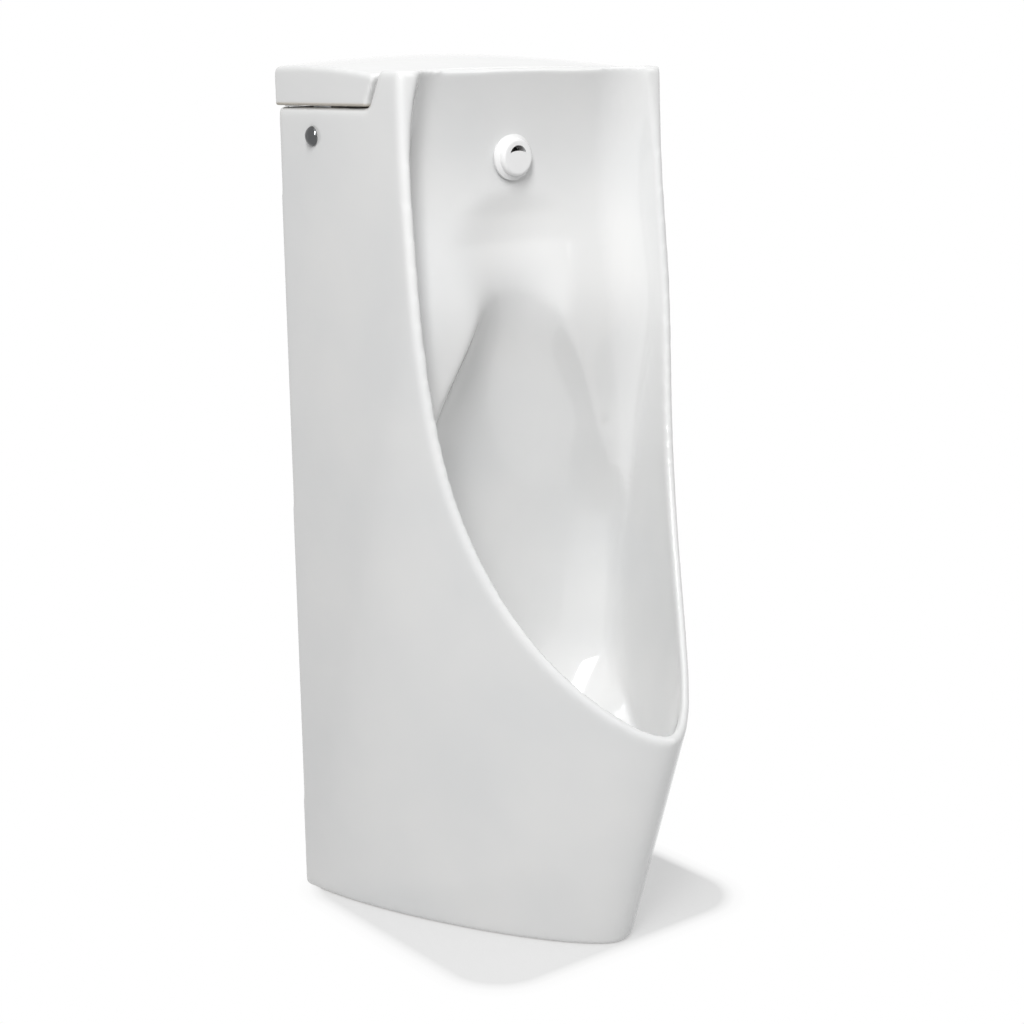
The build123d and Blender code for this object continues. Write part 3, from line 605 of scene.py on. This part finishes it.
def soften_cavity(points, normals):
    """Move the points of the bowl and splash panel onto one flowing surface with soft ridges.

    Gives back the points, how far each belongs to that surface, and which lie in the hollows behind it.
    """
    x, y, z = (points / MM).T.astype(float)
    middle = WALL_Y / MM - BOWL_MIDDLE
    away = np.maximum(np.hypot(x, y - middle), 1e-3)
    across, back = np.abs(x) / away, (y - middle) / away
    bow = bow_distance(across, back, z)
    panel = np.minimum(panel_distance(across, back, z), bow)
    bowl = bowl_distance(across, back, z)
    crest = CREST_LEAST + np.interp(z, *CREST) * ease(bow - panel, *CREST_ROOM)
    beside_panel = z > PANEL_FOOT
    hard = np.where(beside_panel, np.maximum(panel, np.minimum(bowl, bow)), np.minimum(bowl, bow))
    scoop = soft_smaller(bowl, bow, SCOOP_ROUND)
    soft = np.where(beside_panel, soft_larger(panel, scoop, crest), scoop)
    facing_in = -(normals[:, 0] * x + normals[:, 1] * (y - middle)) / away
    rim_gap = y - (WALL_Y / MM - through(RIM, 1, z))
    weight = ease(z, *SOFT_FROM) * np.where(z < LIP_HEIGHT, 1.0, ease(rim_gap, *RIM_KEPT))
    weight *= (1 - ease(np.abs(away - hard), *SKIN_REACH)) * ease(facing_in, *INWARD)
    wanted = away + weight * (soft - away)
    moved = points.copy()
    moved[:, 0] = points[:, 0] * wanted / away
    moved[:, 1] = (middle + (y - middle) * wanted / away) * MM
    nozzle_clear = ease(np.hypot(x, z - NOZZLE_HEIGHT), *NOZZLE_KEPT)
    behind = (away > hard + SKIN_REACH[1]) | (z < BOWL_FLOOR)
    under_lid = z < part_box("lid")[0].z / MM - LID_MARGIN
    hollow = behind & under_lid & (away < bow + SKIN_REACH[0]) & (rim_gap > RIM_MARGIN)
    return moved, weight * nozzle_clear, hollow


def relax(mesh, points, share, passes):
    """Even out the points over and over, each by its own share, for surfaces that flow into one another."""
    ends = np.empty(len(mesh.edges) * 2, np.int32)
    mesh.edges.foreach_get("vertices", ends)
    one, other = ends.reshape(-1, 2).T
    count = np.bincount(ends, minlength=len(points))[:, None]
    points = points.astype(float)
    size = len(points)
    for _ in range(passes):
        sums = [
            np.bincount(one, points[other, i], size) + np.bincount(other, points[one, i], size)
            for i in range(3)
        ]
        points += 0.5 * share[:, None] * (np.stack(sums, axis=1) / count - points)
    return points


def bare_near(distance):
    """How bare of glaze a point is, from its distance to an edge that isn't glazed."""
    return np.clip((BARE_BAND - distance) / BARE_FADE, 0, 1)


def mark_bare(mesh, bare):
    """Store how bare of glaze each point is, from 0 to 1."""
    layer = mesh.attributes.new("bare", "FLOAT", "POINT")
    layer.data.foreach_set("value", np.ascontiguousarray(bare, np.float32))


def dress(node, material):
    """Give a CAD node its finish."""
    mesh = frame["nodes"][node].data
    mesh.materials.clear()
    mesh.materials.append(material)


# Pieces


class URINAL_OT_casting(bpy.types.Operator):
    """Build the glazed pedestal over the CAD casting"""

    bl_idname = "urinal.casting"
    bl_label = "Glazed pedestal"

    def execute(self, context):
        look = context.scene.urinal_glaze
        piece = smooth_copy("glazed_pedestal", "ceramic_body", look.skin_voxel, 12)
        points, share, hollow = soften_cavity(points_of(piece.data), normals_of(piece.data))
        points = relax(piece.data, points, share, 9)
        piece.data.vertices.foreach_set("co", points.astype(np.float32).ravel())
        piece.data.update()
        back = bare_near(WALL_Y - points[:, 1])
        foot = bare_near(points[:, 2])
        mark_bare(piece.data, np.maximum(np.maximum(back, foot), hollow))
        piece.data.materials.append(glaze_finish("pedestal glaze", look))
        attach(piece, "pedestal")
        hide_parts("ceramic_body")
        return {"FINISHED"}


class URINAL_OT_lid(bpy.types.Operator):
    """Build the glazed lid over the CAD lid"""

    bl_idname = "urinal.lid"
    bl_label = "Glazed lid"

    def execute(self, context):
        look = context.scene.urinal_glaze
        piece = smooth_copy("glazed_lid", "lid", look.lid_voxel, 8)
        points = points_of(piece.data)
        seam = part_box("lid")[0].z
        skirt_blend = 0.005
        points[:, 2] -= look.skirt_drop * (1 - ease(points[:, 2], seam, seam + skirt_blend))
        piece.data.vertices.foreach_set("co", points.ravel())
        piece.data.update()
        mark_bare(piece.data, bare_near(points[:, 2] - seam))
        piece.data.materials.append(glaze_finish("lid glaze", look))
        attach(piece, "lid_unit")
        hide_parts("lid")
        return {"FINISHED"}


class URINAL_OT_hardware(bpy.types.Operator):
    """Give the metal, plastic and rubber pieces their finishes"""

    bl_idname = "urinal.hardware"
    bl_label = "Hardware finishes"

    def execute(self, context):
        tones = context.scene.urinal_hardware
        brass = metal_finish("machined brass", tones.brass, 0.22, (1.0, 1.0, 0.05))
        steel = metal_finish("rolled steel", tones.steel, 0.30, (0.05, 1.0, 1.0))
        copper = metal_finish("drawn copper", tones.copper, 0.20, (1.0, 1.0, 0.1))
        chrome = chrome_finish(tones.chrome)
        rubber = rubber_finish()
        nozzle = nozzle_finish(tones.nozzle)
        casing = moulded_finish("casing plastic", tones.casing, 0.48, 0.25)
        black = moulded_finish("black plastic", (0.03, 0.03, 0.033), 0.42, 0.2)
        white = moulded_finish("white plastic", (0.78, 0.78, 0.76), 0.40, 0.1)
        by_slot = {
            "chrome": chrome,
            "nozzle_plastic": nozzle,
            "rubber": rubber,
            "brass": brass,
            "copper": copper,
            "steel": steel,
            "grey_plastic": casing,
            "coil_plastic": black,
            "white_plastic": white,
            "battery_wrap": battery_finish(),
            "glaze": glaze_finish("spare glaze", context.scene.urinal_glaze),
        }
        for part in frame["record"]["subparts"]:
            dress(part["node"], by_slot[part["material_slot"]])
        return {"FINISHED"}


# Studio


def soft_light(name, place, target, width, height, power):
    """A large rectangular light aimed at a point."""
    lamp = bpy.data.lights.new(name, "AREA")
    lamp.shape = "RECTANGLE"
    lamp.size = width
    lamp.size_y = height
    lamp.energy = power
    holder = bpy.data.objects.new(name, lamp)
    holder.location = place
    holder.rotation_mode = "QUATERNION"
    holder.rotation_quaternion = (Vector(place) - Vector(target)).to_track_quat("Z", "Y")
    bpy.context.scene.collection.objects.link(holder)


def floor_finish():
    """White floor that keeps the shadow under and close around the foot."""
    finish = Finish("studio floor")
    place = finish.place()
    foot_middle, foot_half, foot_round = (0.0, -0.04, 0.0), (0.12, 0.117, 0.0), 0.055
    steps = (("ADD", foot_middle), ("ABSOLUTE", None), ("SUBTRACT", foot_half), ("MAXIMUM", (0.0, 0.0, 0.0)))
    for operation, by in steps:
        fed = {0: place, 1: by} if by else {0: place}
        place = finish.node("ShaderNodeVectorMath", {"operation": operation}, fed)
    past_foot = finish.length(place) - foot_round
    clear = finish.ramp(past_foot * 10.0, [(0.0, 0.50), (0.07, 0.74), (0.16, 0.93), (0.30, 1.0)])
    matt = finish.node("ShaderNodeBsdfDiffuse", inputs={"Color": (0.60, 0.60, 0.60, 1.0)})
    white = finish.node("ShaderNodeEmission", inputs={"Color": (1.0, 1.0, 1.0, 1.0), "Strength": 1.0})
    surface = finish.node("ShaderNodeMixShader", inputs={0: finish.seen() * clear, 1: matt, 2: white})
    finish.node("ShaderNodeOutputMaterial", inputs={"Surface": surface})
    return finish.made


def studio_world(strength):
    """White where it is seen or mirrored, and an even, weaker light all round."""
    finish = Finish("studio", "worlds")
    room = finish.node("ShaderNodeBackground", inputs={"Color": (1.0, 1.0, 1.0, 1.0), "Strength": strength})
    white = finish.node("ShaderNodeBackground", inputs={"Color": (1.0, 1.0, 1.0, 1.0), "Strength": 1.0})
    surface = finish.node("ShaderNodeMixShader", inputs={0: finish.seen(), 1: room, 2: white})
    finish.node("ShaderNodeOutputWorld", inputs={"Surface": surface})
    bpy.context.scene.world = finish.made


def floor_disc():
    """A flat disc in rings, which are finer near the foot."""
    spokes = 48
    reaches = (0.6, 1.5, 4.0, 30.0)
    corners = [(0.0, 0.0, 0.0)] + [
        (reach * math.cos(turn), reach * math.sin(turn), 0.0)
        for reach in reaches
        for turn in np.linspace(0, 2 * math.pi, spokes, endpoint=False)
    ]
    faces = [(0, 1 + i, 1 + (i + 1) % spokes) for i in range(spokes)]
    for ring in range(len(reaches) - 1):
        inner = 1 + spokes * ring
        outer = inner + spokes
        faces += [
            (inner + i, outer + i, outer + (i + 1) % spokes, inner + (i + 1) % spokes) for i in range(spokes)
        ]
    mesh = bpy.data.meshes.new("floor")
    mesh.from_pydata(corners, [], faces)
    mesh.materials.append(floor_finish())
    return mesh


class URINAL_OT_studio(bpy.types.Operator):
    """Set up the floor, the lights and the camera"""

    bl_idname = "urinal.studio"
    bl_label = "Studio"

    def execute(self, context):
        setup = context.scene.urinal_studio
        context.scene.view_settings.view_transform = "Standard"
        studio_world(setup.room)
        floor = bpy.data.objects.new("floor", floor_disc())
        context.scene.collection.objects.link(floor)
        soft_light("key light", (-1.5, -1.5, 2.3), (0.0, 0.0, 0.5), 0.5, 1.8, setup.key)
        soft_light("fill light", (1.5, -1.8, 1.9), (0.0, 0.0, 0.5), 1.2, 1.2, setup.fill)
        soft_light("top light", (0.0, -0.4, 2.6), (0.0, 0.0, 0.6), 1.6, 1.2, setup.top)
        self.aim_camera(context, setup)
        return {"FINISHED"}

    def aim_camera(self, context, setup):
        """Stand the camera where the photograph was taken from."""
        flat = math.cos(CAMERA_NOD)
        ahead = Vector(
            (math.sin(CAMERA_BEARING) * flat, math.cos(CAMERA_BEARING) * flat, -math.sin(CAMERA_NOD))
        )
        level = Vector((math.cos(CAMERA_BEARING), -math.sin(CAMERA_BEARING), 0.0))
        up = level.cross(ahead)
        right = math.cos(CAMERA_ROLL) * level + math.sin(CAMERA_ROLL) * up
        above = math.cos(CAMERA_ROLL) * up - math.sin(CAMERA_ROLL) * level
        camera = bpy.data.cameras.new("camera")
        camera.lens = setup.lens
        camera.sensor_width = 36.0
        camera.clip_end = 100.0
        holder = bpy.data.objects.new("camera", camera)
        holder.matrix_world = Matrix((right, above, -ahead)).transposed().to_4x4()
        holder.location = CAMERA_PLACE
        context.scene.collection.objects.link(holder)
        context.scene.camera = holder


# Panel and running


class URINAL_PT_panel(bpy.types.Panel):
    """Lists the settings and the pieces"""

    bl_idname = "URINAL_PT_panel"
    bl_label = "Urinal"
    bl_space_type = "VIEW_3D"
    bl_region_type = "UI"
    bl_category = "Urinal"

    def draw(self, context):
        for name in SETTINGS:
            box = self.layout.box()
            group = getattr(context.scene, name)
            for prop in group.bl_rna.properties:
                if prop.identifier not in ("name", "rna_type"):
                    box.prop(group, prop.identifier)
        for step in STEPS:
            self.layout.operator(step.bl_idname)


SETTINGS = {"urinal_glaze": UrinalGlaze, "urinal_hardware": UrinalHardware, "urinal_studio": UrinalStudio}
STEPS = (URINAL_OT_studio, URINAL_OT_hardware, URINAL_OT_casting, URINAL_OT_lid)


def register():
    for name, group in SETTINGS.items():
        bpy.utils.register_class(group)
        setattr(bpy.types.Scene, name, bpy.props.PointerProperty(type=group))
    for listed in (*STEPS, URINAL_PT_panel):
        bpy.utils.register_class(listed)


def unregister():
    for listed in (URINAL_PT_panel, *reversed(STEPS)):
        bpy.utils.unregister_class(listed)
    for name, group in reversed(SETTINGS.items()):
        delattr(bpy.types.Scene, name)
        bpy.utils.unregister_class(group)


def main():
    register()
    bpy.ops.urinal.studio()
    bpy.ops.urinal.hardware()
    bpy.ops.urinal.casting()
    bpy.ops.urinal.lid()


if __name__ == "__main__":
    main()
